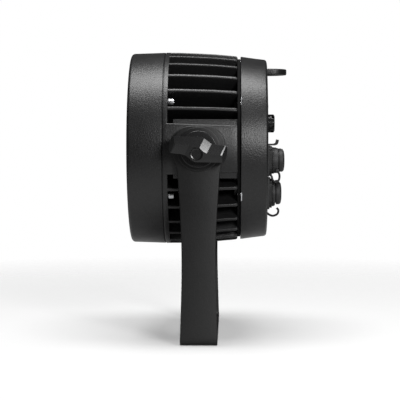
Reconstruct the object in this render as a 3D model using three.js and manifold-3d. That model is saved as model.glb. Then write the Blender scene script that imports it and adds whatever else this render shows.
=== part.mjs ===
// LED par can light on a U-shaped yoke, in millimetres.
// +Z is up, the lens faces -Y and the connectors face +Y. The tilt axis runs along X.
// The origin is the centre of the clamp hole, on the underside of the yoke's crossbar.

import * as THREE from 'three';
import { mergeVertices } from 'three/addons/utils/BufferGeometryUtils.js';
import Module from 'manifold-3d';

const wasm = await Module();
wasm.setup();

// ---- Driving dimensions. Radii are from the lamp's axis, and Y is measured from the tilt axis ----

const GAP = 0.3;
const PIVOT_HEIGHT = 184;
const RING_FACETS = 40;
const SCREW_ANGLES = [30, 90, 150, 210, 270, 330];

const bezel = {
  front: -68, rear: -34.7, frontRadius: 93.6, rearRadius: 94.7, edge: 3,
  lipRadius: 81, lipRear: -62, boreRadius: 85.5,
};
const glass = { radius: 85.2, thickness: 4 };
const gasket = { innerRadius: 80.5, thickness: 2 };
const lensPlate = { radius: 85, thickness: 3, holeRadius: 23.2 };
const lens = {
  pitchRadius: 50.5, radius: 22.5, front: -54.2, flangeRadius: 24.4, flangeThickness: 1.8,
  tailRadius: 8, tail: -40.1,
};
const ledBoard = { radius: 79, front: -37.9, rear: -36.3, emitterRadius: 5, emitterHeight: 1.6 };

const flange = { front: -33.9, rear: -29.5, radius: 94.8 };
const spigot = { innerRadius: 80.2, radius: 85.2, front: -51.8, wall: -36 };
const frontSeal = { innerRadius: 82.9, front: -40.2, rear: -37.8 };
const core = { radius: 56, innerRadius: 52, floor: -26 };
const neck = { front: 33, rear: 39.3, radius: 83, lugFront: 35.8, lugRadius: 3.4 };
const fins = { pitch: 12, thickness: 3.5, rear: 36.7, rearRound: 2, coveredRadius: 78 };
// The casting's outer envelope, as [radius, y]: the fins end on it, and the pivot pads stand proud of it.
const envelope = [[94.8, -29.5], [94.8, -21], [94.1, -3], [93.15, 15], [91.6, 32], [91, 34.7]];
const pad = {
  proud: 0.5, frontHalfHeight: 24.1, rearHalfHeight: 21.9, wall: 12,
  stepDepth: 1.5, stepHalfHeight: 28, stepFront: -24, bossFace: 96, bossRadius: 20, socketRadius: 10,
};
const bezelScrew = {
  circle: 88.5, headRadius: 2.9, headLength: 5.4, shankRadius: 1.5, depth: 17,
  socketRadius: 1.4, socketDepth: 2,
};

const cover = {
  front: 39.6, rear: 65.2, frontRadius: 90.8, plateInner: 61.2, wallInner: 81.5,
  step: 43.8, stepInner: 73.2,
};
const rearSeal = { innerRadius: 74.9, radius: 76.9, front: 39.6, rear: 41.5 };
const coverStud = {
  circle: 85.6, shankRadius: 1.5, front: 36.1, rear: 52, collarRadius: 4.9, collarThickness: 1,
};
const STUD_HOLE_RADIUS = 1.9;

const loop = {
  height: 75.3, width: 30, end: 85.2, thickness: 6.4, eyeHalfWidth: 8, base: 3,
  pegX: 10, pegRadius: 2.4, pegFront: 57,
};
const vent = { height: 24.5, radius: 9, end: 73.5, threadRadius: 5.7, threadEnd: 57 };
const display = { height: 56, width: 44, tall: 18, thickness: 2, openWidth: 36, openTall: 11 };
const button = { height: 40.5, spacing: 16, radius: 4.5, proud: 1.5, flangeRadius: 5.6 };

const supply = {
  width: 68, tall: 60, corner: 6, front: -22, rear: 34,
  terminalWidth: 40, terminalTall: 16, terminalRear: 38,
};
const driver = {
  width: 110, tall: 100, front: 44.6, rear: 46.2, partRear: 56,
  coilRadius: 9, coilPlace: [-34, 22], capacitorRadius: 6, capacitorPlace: [34, 30],
  socketWidth: 24, socketTall: 12, socketRear: 49, socketPlace: [0, -24],
};
const control = {
  width: 72, tall: 32, height: 50, front: 56, rear: 57.6,
  screenWidth: 34, screenTall: 10, screenRear: 60.8,
};

const connector = {
  column: 22, flangeWidth: 26, flangeTall: 31, flangeThickness: 2.2, flangeCorner: 3,
  neckRadius: 11.3, bodyRadius: 10.1, bodyEnd: 50, rim: 3, rimRadius: 9.4,
};
const cap = { radius: 13.3, skirtRadius: 13, boreRadius: 11.6, skirtFront: 70.4, domeHeight: 7.1 };
const STRAP_RADIUS = 1.05;
const connectors = [
  { name: 'power_in', side: 1, height: -12, neckEnd: 75.3 },
  { name: 'power_out', side: -1, height: -12, neckEnd: 75.3 },
  { name: 'dmx_in', side: 1, height: -44, neckEnd: 72.4 },
  { name: 'dmx_out', side: -1, height: -44, neckEnd: 72.4 },
];

const yoke = { inner: 97.6, thickness: 4, bendRadius: 2.5, clampRadius: 6.5, armHole: 4.6 };
// Half width of the strap at a few heights above the crossbar's underside, up to below the pivot.
const yokeEdge = [[17.65, 0], [16.9, 25], [15.95, 62], [16.1, 95], [17.2, 124], [19.7, 160]];
const yokeHead = { halfWidth: 24.8, top: 21.8, corner: 18.5, shoulder: 12, flare: 0.7 };

const friction = { radius: 19, thickness: 1 };
const washer = { radius: 20.5, thickness: 1.5 };
const SLEEVE_HOLE_RADIUS = 4.4;
const knob = { hubRadius: 17, hubLength: 5.5, end: 124.5, boreRadius: 4.3, boreDepth: 14 };
// Half of the wing's outline, as seen from outside; the other half is the same turned by 180 degrees.
const knobWing = [
  [22.3, -12.1], [23.7, -12.3], [25.6, -7.4], [26.7, 0], [26.5, 2.4], [25.6, 3.3], [15.9, 4.2],
  [11.4, 5.6], [5.6, 10.2], [2.5, 11.6],
];
const stud = { radius: 3.9, depth: 21.5 };

// ---- Materials ----

const material = (color, roughness, metalness, others = {}) => (
  new THREE.MeshStandardMaterial({ color, roughness, metalness, ...others })
);
const powderCoat = () => material(0x232324, 0.6, 0.3);
const blackSteel = () => material(0x1c1c1d, 0.5, 0.6);
const brightSteel = () => material(0xc9cacc, 0.3, 1);
const blackPlastic = () => material(0x141415, 0.45, 0);
const blackRubber = () => material(0x18181a, 0.75, 0);
const clearGlass = () => material(0xe8eef0, 0.05, 0, { transparent: true, opacity: 0.35 });
const clearPlastic = () => material(0xf2f4f5, 0.1, 0, { transparent: true, opacity: 0.5 });
const circuitBoard = () => material(0x1d4a2c, 0.5, 0.1);
const whiteBoard = () => material(0xe9eae6, 0.4, 0.2);
const fibre = () => material(0x3b2f27, 0.8, 0);

// ---- Solids: every shape becomes a manifold solid, so that it can be cut and joined ----

const X = new THREE.Vector3(1, 0, 0);
const Y = new THREE.Vector3(0, 1, 0);
const Z = new THREE.Vector3(0, 0, 1);

function signedVolume(position, triangles) {
  const [a, b, c] = [new THREE.Vector3(), new THREE.Vector3(), new THREE.Vector3()];
  let total = 0;
  for (const [i, j, k] of triangles) {
    a.fromBufferAttribute(position, i);
    b.fromBufferAttribute(position, j);
    c.fromBufferAttribute(position, k);
    total += a.dot(b.cross(c)) / 6;
  }
  return total;
}

function solid(geometry) {
  const bare = geometry.clone();
  bare.deleteAttribute('normal');
  bare.deleteAttribute('uv');
  const merged = mergeVertices(bare, 1e-3);
  const position = merged.getAttribute('position');
  const index = merged.getIndex().array;
  const triangles = [];
  for (let i = 0; i < index.length; i += 3) {
    const triangle = [index[i], index[i + 1], index[i + 2]];
    if (new Set(triangle).size === 3) {
      triangles.push(triangle);
    }
  }
  const inward = signedVolume(position, triangles) < 0;
  const outward = triangles.map(([i, j, k]) => (inward ? [i, k, j] : [i, j, k]));
  return new wasm.Manifold(new wasm.Mesh({
    numProp: 3,
    vertProperties: new Float32Array(position.array),
    triVerts: new Uint32Array(outward.flat()),
  }));
}

function geometryOf(body) {
  const { vertProperties, triVerts } = body.getMesh();
  const geometry = new THREE.BufferGeometry();
  geometry.setAttribute('position', new THREE.BufferAttribute(vertProperties, 3));
  geometry.setIndex(new THREE.BufferAttribute(triVerts, 1));
  geometry.computeVertexNormals();
  return geometry;
}

const unite = (bodies) => bodies.reduce((whole, body) => whole.add(body));
const cut = (body, tools) => tools.reduce((whole, tool) => whole.subtract(tool), body);

// A body turned about the Y axis from a profile of [radius, y] points.
function turned(profile, facets = RING_FACETS) {
  const points = profile.map(([radius, y]) => new THREE.Vector2(radius, y));
  const open = profile[0][0] === 0 && profile[profile.length - 1][0] === 0;
  if (!open) {
    points.push(points[0].clone());
  }
  return solid(new THREE.LatheGeometry(points, facets));
}

function rodAlongY(radius, from, to, facets, x = 0, z = 0) {
  const rod = new THREE.CylinderGeometry(radius, radius, to - from, facets);
  rod.translate(x, (from + to) / 2, z);
  return solid(rod);
}

function rodAlongX(radius, from, to, facets) {
  const rod = new THREE.CylinderGeometry(radius, radius, to - from, facets);
  rod.rotateZ(-Math.PI / 2);
  rod.translate((from + to) / 2, 0, 0);
  return solid(rod);
}

function boxBetween(low, high) {
  const [a, b] = [new THREE.Vector3(...low), new THREE.Vector3(...high)];
  const size = b.clone().sub(a);
  const box = new THREE.BoxGeometry(size.x, size.y, size.z);
  const middle = a.add(b).multiplyScalar(0.5);
  box.translate(middle.x, middle.y, middle.z);
  return solid(box);
}

// A flat outline given a thickness. Its two axes and the thickness follow the three directions.
function prism(shape, from, to, across, up, along, curveSegments = 6) {
  const body = new THREE.ExtrudeGeometry(shape, { depth: to - from, bevelEnabled: false, curveSegments });
  body.translate(0, 0, from);
  body.applyMatrix4(new THREE.Matrix4().makeBasis(across, up, along));
  return solid(body);
}

const polygon = (points) => new THREE.Shape(points.map(([a, b]) => new THREE.Vector2(a, b)));

function roundedRectangle(width, height, radius) {
  const [w, h, r] = [width / 2, height / 2, radius];
  const shape = new THREE.Shape();
  shape.moveTo(r - w, -h);
  shape.lineTo(w - r, -h);
  shape.absarc(w - r, r - h, r, -Math.PI / 2, 0);
  shape.lineTo(w, h - r);
  shape.absarc(w - r, h - r, r, 0, Math.PI / 2);
  shape.lineTo(r - w, h);
  shape.absarc(r - w, h - r, r, Math.PI / 2, Math.PI);
  shape.lineTo(-w, r - h);
  shape.absarc(r - w, r - h, r, Math.PI, 1.5 * Math.PI);
  return shape;
}

function onCircle(radius, degrees) {
  const angle = THREE.MathUtils.degToRad(degrees);
  return [radius * Math.cos(angle), radius * Math.sin(angle)];
}

// ---- Scene graph: the yoke stands at the origin, and the head turns at the pivot height ----

const light = new THREE.Group();
const head = new THREE.Group();
head.position.z = PIVOT_HEIGHT;
light.add(head);

function addPart(parent, name, body, material) {
  const mesh = new THREE.Mesh(geometryOf(body), material);
  mesh.name = name;
  parent.add(mesh);
}

// ---- Optics ----

function frontBezel() {
  const b = bezel;
  const ring = turned([
    [b.lipRadius, b.front + 1.5], [b.lipRadius + 1.5, b.front], [b.frontRadius - b.edge, b.front],
    [b.frontRadius - 0.9, b.front + 0.9], [b.frontRadius, b.front + b.edge], [b.rearRadius, b.rear],
    [b.boreRadius, b.rear], [b.boreRadius, b.lipRear], [b.lipRadius, b.lipRear],
  ]);
  const holes = SCREW_ANGLES.map((angle) => {
    const [x, z] = onCircle(bezelScrew.circle, angle);
    return rodAlongY(STUD_HOLE_RADIUS, b.rear - bezelScrew.depth + 3, b.rear + 1, 8, x, z);
  });
  return cut(ring, holes);
}

const glassFront = bezel.lipRear + GAP;
const gasketFront = glassFront + glass.thickness + GAP;
const plateFront = gasketFront + gasket.thickness + GAP;

function ringBody(innerRadius, radius, from, to) {
  return turned([[innerRadius, from], [radius, from], [radius, to], [innerRadius, to]]);
}

function discBody(radius, from, to) {
  return turned([[0, from], [radius, from], [radius, to], [0, to]]);
}

const ringOfLenses = [0, 60, 120, 180, 240, 300].map((angle) => onCircle(lens.pitchRadius, angle));
const lensCentres = [[0, 0], ...ringOfLenses];

function lensPlateBody() {
  const plateRear = plateFront + lensPlate.thickness;
  const plate = discBody(lensPlate.radius, plateFront, plateRear);
  const holes = lensCentres.map(([x, z]) => (
    rodAlongY(lensPlate.holeRadius, plateFront - 1, plateRear + 1, 14, x, z)
  ));
  return cut(plate, holes);
}

function lensBody([x, z]) {
  const flangeFront = plateFront + lensPlate.thickness + GAP;
  const flangeRear = flangeFront + lens.flangeThickness;
  return turned([
    [0, lens.front], [lens.radius, lens.front], [lens.radius, flangeFront], [lens.flangeRadius, flangeFront],
    [lens.flangeRadius, flangeRear], [lens.radius - 1, flangeRear], [lens.tailRadius, lens.tail],
    [0, lens.tail],
  ], 14).translate([x, 0, z]);
}

function ledBoardBody() {
  const emitters = lensCentres.map(([x, z]) => rodAlongY(
    ledBoard.emitterRadius, ledBoard.front - ledBoard.emitterHeight, ledBoard.front + 0.5, 6, x, z,
  ));
  return unite([discBody(ledBoard.radius, ledBoard.front, ledBoard.rear), ...emitters]);
}

addPart(head, 'front_bezel', frontBezel(), powderCoat());
addPart(head, 'front_glass', discBody(glass.radius, glassFront, glassFront + glass.thickness), clearGlass());
addPart(
  head, 'glass_gasket',
  ringBody(gasket.innerRadius, glass.radius, gasketFront, gasketFront + gasket.thickness), blackRubber(),
);
addPart(head, 'lens_plate', lensPlateBody(), blackPlastic());
lensCentres.forEach((centre, i) => addPart(head, `lens_${i + 1}`, lensBody(centre), clearPlastic()));
addPart(head, 'led_board', ledBoardBody(), whiteBoard());

// ---- Heatsink housing: front wall and spigot, core tube, fins, pivot pads and rear neck ----

function finBody(angle, outline) {
  const half = fins.thickness / 2;
  const fin = new THREE.ExtrudeGeometry(polygon(outline), { depth: fins.thickness, bevelEnabled: false });
  fin.translate(0, 0, -half);
  fin.rotateY(-THREE.MathUtils.degToRad(angle));
  return solid(fin);
}

function allFins() {
  const root = core.radius - 1;
  const front = flange.rear - 1;
  const tip = envelope[envelope.length - 1][0] - fins.rearRound;
  const free = [
    [root, front], [flange.radius, front], ...envelope.slice(1), [tip, fins.rear], [root, fins.rear],
  ];
  const covered = [
    [root, front], [fins.coveredRadius, front], [fins.coveredRadius, fins.rear], [root, fins.rear],
  ];
  const bodies = [];
  for (let angle = 0; angle < 360; angle += fins.pitch) {
    const fromSide = Math.min(angle % 180, 180 - (angle % 180));
    bodies.push(finBody(angle, fromSide < 2 * fins.pitch ? covered : free));
  }
  return bodies;
}

// Each pad is a stretch of the envelope made solid, a little narrower at the rear, with a lower step
// above and below it, and a flat round boss in the middle that the yoke's arm clamps against.
function padShell(proud, sideView) {
  const outer = envelope.map(([radius, y]) => [radius + proud, y]);
  const tip = outer[outer.length - 1][0] - fins.rearRound;
  const inner = envelope[envelope.length - 1][0] - pad.wall;
  const front = flange.rear - 1;
  const ring = turned([
    [inner, front], [outer[0][0], front], ...outer, [tip, fins.rear], [inner, fins.rear],
  ]);
  return ring.intersect(prism(polygon(sideView), -120, 120, Y, Z, X));
}

function pivotPads() {
  const boss = rodAlongX(pad.bossRadius, envelope[envelope.length - 1][0] - pad.wall, pad.bossFace, 24);
  const socket = rodAlongX(pad.socketRadius, core.radius - 1, pad.bossFace - 1, 16);
  const [front, rear] = [flange.rear - 1, fins.rear];
  const face = [
    [front, -pad.frontHalfHeight], [rear, -pad.rearHalfHeight],
    [rear, pad.rearHalfHeight], [front, pad.frontHalfHeight],
  ];
  const step = [
    [pad.stepFront, -pad.stepHalfHeight], [rear, -pad.stepHalfHeight],
    [rear, pad.stepHalfHeight], [pad.stepFront, pad.stepHalfHeight],
  ];
  return [
    padShell(pad.proud, face), padShell(-pad.stepDepth, step),
    boss, socket, boss.mirror([1, 0, 0]), socket.mirror([1, 0, 0]),
  ];
}

function heatsinkHousing() {
  const s = spigot;
  const sealFloor = frontSeal.innerRadius - 0.2;
  const shell = turned([
    [0, s.wall], [s.innerRadius, s.wall], [s.innerRadius, s.front], [s.radius, s.front],
    [s.radius, frontSeal.front - GAP], [sealFloor, frontSeal.front - GAP],
    [sealFloor, frontSeal.rear + GAP], [s.radius, frontSeal.rear + GAP], [s.radius, flange.front],
    [flange.radius, flange.front], [flange.radius, flange.rear], [core.radius, flange.rear],
    [core.radius, neck.front], [neck.radius, neck.front], [neck.radius, neck.rear],
    [core.innerRadius, neck.rear], [core.innerRadius, core.floor], [0, core.floor],
  ]);
  const screwHoles = SCREW_ANGLES.map((angle) => {
    const [x, z] = onCircle(bezelScrew.circle, angle);
    return rodAlongY(STUD_HOLE_RADIUS, flange.front - 1, flange.rear + 1, 8, x, z);
  });
  const coverHoles = SCREW_ANGLES.map((angle) => {
    const [x, z] = onCircle(coverStud.circle, angle);
    return rodAlongY(STUD_HOLE_RADIUS, coverStud.front - GAP, neck.rear + 1, 8, x, z);
  });
  const lugs = SCREW_ANGLES.map((angle) => (
    rodAlongY(neck.lugRadius, neck.lugFront, neck.rear, 14, ...onCircle(coverStud.circle, angle))
  ));
  const knobHole = rodAlongX(knob.boreRadius, pad.bossFace - stud.depth - GAP, pad.bossFace + 1, 12);
  const body = unite([shell, ...allFins(), ...pivotPads(), ...lugs]);
  return cut(body, [...screwHoles, ...coverHoles, knobHole, knobHole.mirror([1, 0, 0])]);
}

addPart(head, 'heatsink_housing', heatsinkHousing(), powderCoat());
addPart(
  head, 'front_seal',
  ringBody(frontSeal.innerRadius, spigot.radius, frontSeal.front, frontSeal.rear), blackRubber(),
);

// A cap screw whose head stands behind the flange and whose shank reaches into the bezel.
function bezelScrewBody(angle) {
  const b = bezelScrew;
  const seat = flange.rear + GAP;
  const top = seat + b.headLength;
  const [x, z] = onCircle(b.circle, angle);
  return turned([
    [0, seat - b.depth], [b.shankRadius, seat - b.depth], [b.shankRadius, seat], [b.headRadius, seat],
    [b.headRadius, top], [b.socketRadius, top], [b.socketRadius, top - b.socketDepth],
    [0, top - b.socketDepth],
  ], 8).translate([x, 0, z]);
}

SCREW_ANGLES.forEach((angle, i) => {
  addPart(head, `bezel_screw_${i + 1}`, bezelScrewBody(angle), brightSteel());
});

// ---- Rear cover and what is fixed to it ----

const collarFront = cover.front;
const collarRear = cover.front + coverStud.collarThickness;

function coverStudBody(angle) {
  const c = coverStud;
  const [x, z] = onCircle(c.circle, angle);
  return turned([
    [0, c.front], [c.shankRadius, c.front], [c.shankRadius, collarFront], [c.collarRadius, collarFront],
    [c.collarRadius, collarRear], [c.shankRadius, collarRear], [c.shankRadius, c.rear], [0, c.rear],
  ], 10).translate([x, 0, z]);
}

const flangeFront = cover.rear + GAP;

function coverOpenings() {
  const through = [cover.plateInner - 1, cover.rear + 1];
  const plugs = connectors.map(({ side, height }) => rodAlongY(
    connector.bodyRadius + GAP + 0.1, ...through, 20, side * connector.column, height,
  ));
  const ventHole = rodAlongY(vent.threadRadius + GAP + 0.1, ...through, 14, 0, vent.height);
  const keyHoles = buttonPlaces().map((x) => (
    rodAlongY(button.radius + 0.4, ...through, 12, x, button.height)
  ));
  const pegHoles = [-loop.pegX, loop.pegX].map((x) => (
    rodAlongY(loop.pegRadius + GAP + 0.1, ...through, 10, x, loop.height)
  ));
  const d = display;
  const windowOpening = boxBetween(
    [-d.openWidth / 2, through[0], d.height - d.openTall / 2],
    [d.openWidth / 2, through[1], d.height + d.openTall / 2],
  );
  const windowSeat = boxBetween(
    [-d.width / 2 - GAP, cover.rear - d.thickness - GAP, d.height - d.tall / 2 - GAP],
    [d.width / 2 + GAP, cover.rear + 1, d.height + d.tall / 2 + GAP],
  );
  return [...plugs, ventHole, ...keyHoles, ...pegHoles, windowOpening, windowSeat];
}

// The collar's pocket in the ring's front edge is open outward, so the collar's rim shows.
function slotOutward(angle) {
  const half = coverStud.collarRadius + 0.5;
  const shape = new THREE.Shape();
  shape.moveTo(100, -half);
  shape.lineTo(100, half);
  shape.lineTo(coverStud.circle, half);
  shape.absarc(coverStud.circle, 0, half, Math.PI / 2, 1.5 * Math.PI);
  const pocket = new THREE.ExtrudeGeometry(shape, {
    depth: collarRear + GAP - cover.front + 1, bevelEnabled: false, curveSegments: 8,
  });
  pocket.rotateX(Math.PI / 2);
  pocket.translate(0, collarRear + GAP, 0);
  pocket.rotateY(-THREE.MathUtils.degToRad(angle));
  return solid(pocket);
}

function rearCoverBody() {
  const c = cover;
  const s = rearSeal;
  const shell = turned([
    [0, c.rear], [85.7, c.rear], [87.2, c.rear - 0.6], [87.8, c.rear - 2], [89.4, 51], [90.3, 45],
    [c.frontRadius, c.front], [s.radius + GAP, c.front], [s.radius + GAP, s.rear + GAP],
    [s.innerRadius - GAP, s.rear + GAP], [s.innerRadius - GAP, c.front], [c.stepInner, c.front],
    [c.stepInner, c.step], [c.wallInner, c.step], [c.wallInner, c.plateInner], [0, c.plateInner],
  ]);
  const studHoles = SCREW_ANGLES.flatMap((angle) => {
    const [x, z] = onCircle(coverStud.circle, angle);
    return [
      rodAlongY(STUD_HOLE_RADIUS, c.front - 1, coverStud.rear + GAP, 8, x, z),
      slotOutward(angle),
    ];
  });
  return cut(shell, [...studHoles, ...coverOpenings()]);
}

function safetyLoop() {
  const half = loop.width / 2;
  const outline = new THREE.Shape();
  outline.moveTo(-half, flangeFront);
  outline.lineTo(half, flangeFront);
  outline.lineTo(half, loop.end - half);
  outline.absarc(0, loop.end - half, half, 0, Math.PI);
  const eye = new THREE.Path();
  const eyeEnd = loop.end - half;
  eye.moveTo(-loop.eyeHalfWidth, flangeFront + loop.base);
  eye.lineTo(loop.eyeHalfWidth, flangeFront + loop.base);
  eye.lineTo(loop.eyeHalfWidth, eyeEnd);
  eye.absarc(0, eyeEnd, loop.eyeHalfWidth, 0, Math.PI);
  outline.holes.push(eye);
  const bottom = loop.height - loop.thickness / 2;
  const plate = prism(outline, bottom, bottom + loop.thickness, X, Y, Z, 12);
  const pegs = [-loop.pegX, loop.pegX].map((x) => (
    rodAlongY(loop.pegRadius, loop.pegFront, flangeFront + 1, 10, x, loop.height)
  ));
  return unite([plate, ...pegs]);
}

function ventPlug() {
  const v = vent;
  return turned([
    [0, v.end], [v.radius - 1.4, v.end], [v.radius, v.end - 1.2], [v.radius, flangeFront],
    [v.threadRadius, flangeFront], [v.threadRadius, v.threadEnd], [0, v.threadEnd],
  ], 20).translate([0, 0, v.height]);
}

function buttonPlaces() {
  return [-1.5, -0.5, 0.5, 1.5].map((step) => step * button.spacing);
}

function buttonBody(x) {
  const shoulder = cover.plateInner - GAP;
  const back = shoulder - 1.6;
  return turned([
    [0, cover.rear + button.proud], [button.radius, cover.rear + button.proud], [button.radius, shoulder],
    [button.flangeRadius, shoulder], [button.flangeRadius, back], [0, back],
  ], 12).translate([x, 0, button.height]);
}

addPart(
  head, 'rear_seal',
  ringBody(rearSeal.innerRadius, rearSeal.radius, rearSeal.front, rearSeal.rear), blackRubber(),
);
addPart(head, 'rear_cover', rearCoverBody(), powderCoat());
SCREW_ANGLES.forEach((angle, i) => {
  addPart(head, `cover_stud_${i + 1}`, coverStudBody(angle), brightSteel());
});
addPart(head, 'safety_loop', safetyLoop(), powderCoat());
addPart(head, 'vent_plug', ventPlug(), blackPlastic());
addPart(head, 'display_window', boxBetween(
  [-display.width / 2, cover.rear - display.thickness, display.height - display.tall / 2],
  [display.width / 2, cover.rear, display.height + display.tall / 2],
), clearPlastic());
buttonPlaces().forEach((x, i) => addPart(head, `button_${i + 1}`, buttonBody(x), blackPlastic()));

// ---- Electronics inside ----

function blockBetween(width, tall, front, rear, x = 0, z = 0) {
  return boxBetween([x - width / 2, front, z - tall / 2], [x + width / 2, rear, z + tall / 2]);
}

function powerSupply() {
  const p = supply;
  const outline = roundedRectangle(p.width, p.tall, p.corner);
  const block = prism(outline, -p.rear, -p.front, X, Z, Y.clone().negate(), 3);
  return block.add(blockBetween(p.terminalWidth, p.terminalTall, p.rear - 1, p.terminalRear));
}

function driverBoard() {
  const d = driver;
  const foot = d.rear - 0.2;
  const board = blockBetween(d.width, d.tall, d.front, d.rear);
  const coil = rodAlongY(d.coilRadius, foot, d.partRear, 14, ...d.coilPlace);
  const capacitor = rodAlongY(d.capacitorRadius, foot, d.partRear, 12, ...d.capacitorPlace);
  const socket = blockBetween(d.socketWidth, d.socketTall, foot, d.socketRear, ...d.socketPlace);
  return unite([board, coil, capacitor, socket]);
}

function controlBoard() {
  const c = control;
  const board = blockBetween(c.width, c.tall, c.front, c.rear, 0, c.height);
  const screen = blockBetween(c.screenWidth, c.screenTall, c.rear - 0.5, c.screenRear, 0, display.height);
  return board.add(screen);
}

addPart(head, 'power_supply', powerSupply(), blackPlastic());
addPart(head, 'driver_board', driverBoard(), circuitBoard());
addPart(head, 'control_board', controlBoard(), circuitBoard());

// ---- Connectors with their caps and tethers ----

function connectorBody({ side, height, neckEnd }) {
  const c = connector;
  const plate = prism(
    roundedRectangle(c.flangeWidth, c.flangeTall, c.flangeCorner),
    -flangeFront - c.flangeThickness, -flangeFront, X, Z, Y.clone().negate(), 3,
  );
  const barrel = turned([
    [0, c.bodyEnd], [c.bodyRadius, c.bodyEnd], [c.bodyRadius, flangeFront + 1],
    [c.neckRadius, flangeFront + 1], [c.neckRadius, neckEnd], [c.rimRadius, neckEnd],
    [c.rimRadius, neckEnd - c.rim], [0, neckEnd - c.rim],
  ], 14);
  return plate.add(barrel).translate([side * c.column, 0, height]);
}

function capBody({ side, height, neckEnd }) {
  const roof = neckEnd + GAP;
  const top = roof + cap.domeHeight;
  return turned([
    [0, top], [7.5, top - 0.7], [12, top - 2.8], [cap.radius, top - 5.4], [cap.skirtRadius, cap.skirtFront],
    [cap.boreRadius, cap.skirtFront], [cap.boreRadius, roof], [0, roof],
  ], 14).translate([side * connector.column, 0, height]);
}

// On the right, the power tether hangs beside the cap below it and ends on the panel connector's corner,
// and the data tether hangs clear and ends on the back plate. On the left, both loop toward the middle.
const powerTether = [
  [9.8, 75.4, -9.9], [9.8, 77.4, -13.5], [9.8, 77, -18.5], [9.8, 74, -21], [9.8, 71, -19],
  [9.8, 69.9, -15.5], [9.8, 68.4, -13.6],
];
const dataTether = [
  [0, 75.2, -14.6], [0, 76.8, -17], [0, 75.8, -20.6], [0, 71.6, -22.4], [0, 68, -21.4], [0, 65.9, -19.6],
];

function tetherBody({ name, side, height }) {
  const hanging = name.startsWith('power') ? powerTether : dataTether;
  const points = side > 0
    ? hanging.map(([x, y, z]) => new THREE.Vector3(connector.column + x, y, height + z))
    : dataTether.map(([x, y, z]) => new THREE.Vector3(-connector.column - z, y, height + x));
  const section = new THREE.Shape();
  section.absarc(0, 0, STRAP_RADIUS, 0, 2 * Math.PI);
  return solid(new THREE.ExtrudeGeometry(section, {
    steps: 10, curveSegments: 4, bevelEnabled: false, extrudePath: new THREE.CatmullRomCurve3(points),
  }));
}

for (const place of connectors) {
  addPart(head, place.name, connectorBody(place), blackPlastic());
  addPart(head, `${place.name}_cap`, capBody(place), blackRubber());
  addPart(head, `${place.name}_strap`, tetherBody(place), blackRubber());
}

// ---- Yoke: a flat strap bent into a U ----

function strapProfile() {
  const outer = yoke.inner + yoke.thickness;
  const outerBend = yoke.bendRadius + yoke.thickness;
  const top = PIVOT_HEIGHT + yokeHead.top + 1;
  const shape = new THREE.Shape();
  shape.moveTo(outer, top);
  shape.lineTo(outer, outerBend);
  shape.absarc(outer - outerBend, outerBend, outerBend, 0, -Math.PI / 2, true);
  shape.lineTo(outerBend - outer, 0);
  shape.absarc(outerBend - outer, outerBend, outerBend, -Math.PI / 2, -Math.PI, true);
  shape.lineTo(-outer, top);
  shape.lineTo(-yoke.inner, top);
  shape.lineTo(-yoke.inner, outerBend);
  shape.absarc(outerBend - outer, outerBend, yoke.bendRadius, Math.PI, 1.5 * Math.PI);
  shape.lineTo(outer - outerBend, yoke.thickness);
  shape.absarc(outer - outerBend, outerBend, yoke.bendRadius, -Math.PI / 2, 0);
  shape.lineTo(yoke.inner, top);
  return shape;
}

function strapSide() {
  const h = yokeHead;
  const edge = yokeEdge.map(([y, z]) => new THREE.Vector2(y, z));
  const corner = h.halfWidth - h.corner;
  const cornerHeight = PIVOT_HEIGHT + h.top - h.corner;
  const neckPoint = edge[edge.length - 1];
  const shape = new THREE.Shape();
  shape.moveTo(-edge[0].x, 0);
  shape.lineTo(edge[0].x, 0);
  shape.splineThru(edge.slice(1));
  shape.bezierCurveTo(
    neckPoint.x + h.flare, neckPoint.y + h.shoulder, h.halfWidth, cornerHeight - h.shoulder,
    h.halfWidth, cornerHeight,
  );
  shape.absarc(corner, cornerHeight, h.corner, 0, Math.PI / 2);
  shape.lineTo(-corner, PIVOT_HEIGHT + h.top);
  shape.absarc(-corner, cornerHeight, h.corner, Math.PI / 2, Math.PI);
  shape.bezierCurveTo(
    -h.halfWidth, cornerHeight - h.shoulder, -neckPoint.x - h.flare, neckPoint.y + h.shoulder,
    -neckPoint.x, neckPoint.y,
  );
  shape.splineThru(edge.slice(0, -1).reverse().map((point) => new THREE.Vector2(-point.x, point.y)));
  return shape;
}

function yokeBracket() {
  const strap = prism(strapProfile(), -30, 30, X, Z, Y.clone().negate(), 2);
  const side = prism(strapSide(), -110, 110, Y, Z, X, 3);
  const clampHole = new THREE.CylinderGeometry(yoke.clampRadius, yoke.clampRadius, 20, 20);
  clampHole.rotateX(Math.PI / 2);
  const armHole = rodAlongX(yoke.armHole, -110, 110, 14).translate([0, 0, PIVOT_HEIGHT]);
  return cut(strap.intersect(side), [solid(clampHole), armHole]);
}

addPart(light, 'yoke_bracket', yokeBracket(), powderCoat());

// ---- Tilt lock on each side: friction disc, washer, and a wing knob on a threaded stud ----

function washerBody(radius, from, thickness) {
  const ring = rodAlongX(radius, from, from + thickness, 20);
  return ring.subtract(rodAlongX(SLEEVE_HOLE_RADIUS, from - 1, from + thickness + 1, 12));
}

const washerStart = yoke.inner + yoke.thickness + GAP;
const knobStart = washerStart + washer.thickness + GAP;

function knobBody() {
  const otherHalf = knobWing.map(([y, z]) => [-y, -z]);
  const hubEnd = knobStart + knob.hubLength;
  const wing = prism(polygon([...knobWing, ...otherHalf]), hubEnd - 1, knob.end, Y, Z, X);
  const hub = rodAlongX(knob.hubRadius, knobStart, hubEnd, 24);
  const bore = rodAlongX(knob.boreRadius, knobStart - 1, knobStart + knob.boreDepth, 12);
  return wing.add(hub).subtract(bore);
}

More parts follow.
